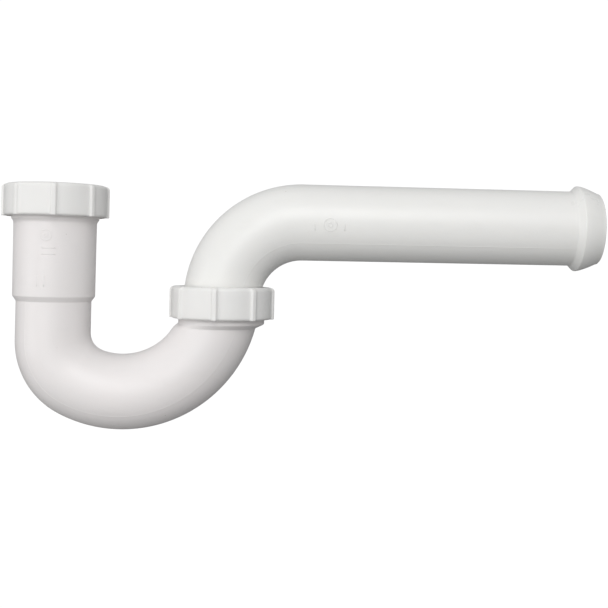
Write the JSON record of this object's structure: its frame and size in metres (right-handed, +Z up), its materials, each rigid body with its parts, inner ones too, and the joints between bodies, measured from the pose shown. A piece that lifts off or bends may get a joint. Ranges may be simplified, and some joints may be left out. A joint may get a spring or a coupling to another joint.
{
  "type": "p trap",
  "caption": "Tubular plastic drain P-trap: a J-bend with a slip-joint inlet, joined by a union nut to a swivelling trap arm with a shouldered wall end.",
  "frame": {"origin": "centre of the J-bend's inlet mouth, on the hub's axis, under the inlet nut's flange", "axes": "+Z up along the hub and out of its mouth; +X from the hub towards the wall end of the trap arm; the trap lies in the XZ plane"},
  "size_m": [0.3006, 0.0532, 0.1281],
  "materials": {
    "bend_plastic": "semi-gloss moulded white, very slightly warm",
    "arm_plastic": "semi-gloss moulded white",
    "nut_plastic": "satin moulded white",
    "washer_plastic": "soft waxy polyethylene"
  },
  "bodies": {
    "j_bend": {"j_bend": "bend_plastic"},
    "inlet_washer": {"inlet_washer": "washer_plastic"},
    "inlet_nut": {"inlet_nut": "nut_plastic"},
    "union_washer": {"union_washer": "washer_plastic"},
    "union_nut": {"union_nut": "nut_plastic"},
    "trap_arm": {"trap_arm": "arm_plastic"}
  },
  "joints": [
    {"name": "inlet_nut_turn", "type": "hinge", "parent": "inlet_washer", "child": "inlet_nut", "pos_m": [0, 0, -0.0113], "axis": [0, 0, 1], "range_deg": [0, 1440]},
    {"name": "inlet_nut_lift", "type": "slide", "parent": "j_bend", "child": "inlet_washer", "axis": [0, 0, 1], "range_m": [0, 0.00883]},
    {"name": "union_nut_turn", "type": "hinge", "parent": "union_washer", "child": "union_nut", "pos_m": [0.0849, 0, -0.0607], "axis": [0, 0, 1], "range_deg": [0, 1440]},
    {"name": "union_lift", "type": "slide", "parent": "j_bend", "child": "union_washer", "axis": [0, 0, 1], "range_m": [0, 0.00883]},
    {"name": "arm_swivel", "type": "hinge", "parent": "union_washer", "child": "trap_arm", "pos_m": [0.0849, 0, -0.0607], "axis": [0, 0, 1], "range_deg": [-140, 140]}
  ],
  "couplings": [
    {"joint": "inlet_nut_turn", "follows": "inlet_nut_lift", "rad_per_m": 2844.7},
    {"joint": "union_nut_turn", "follows": "union_lift", "rad_per_m": 2844.7}
  ]
}
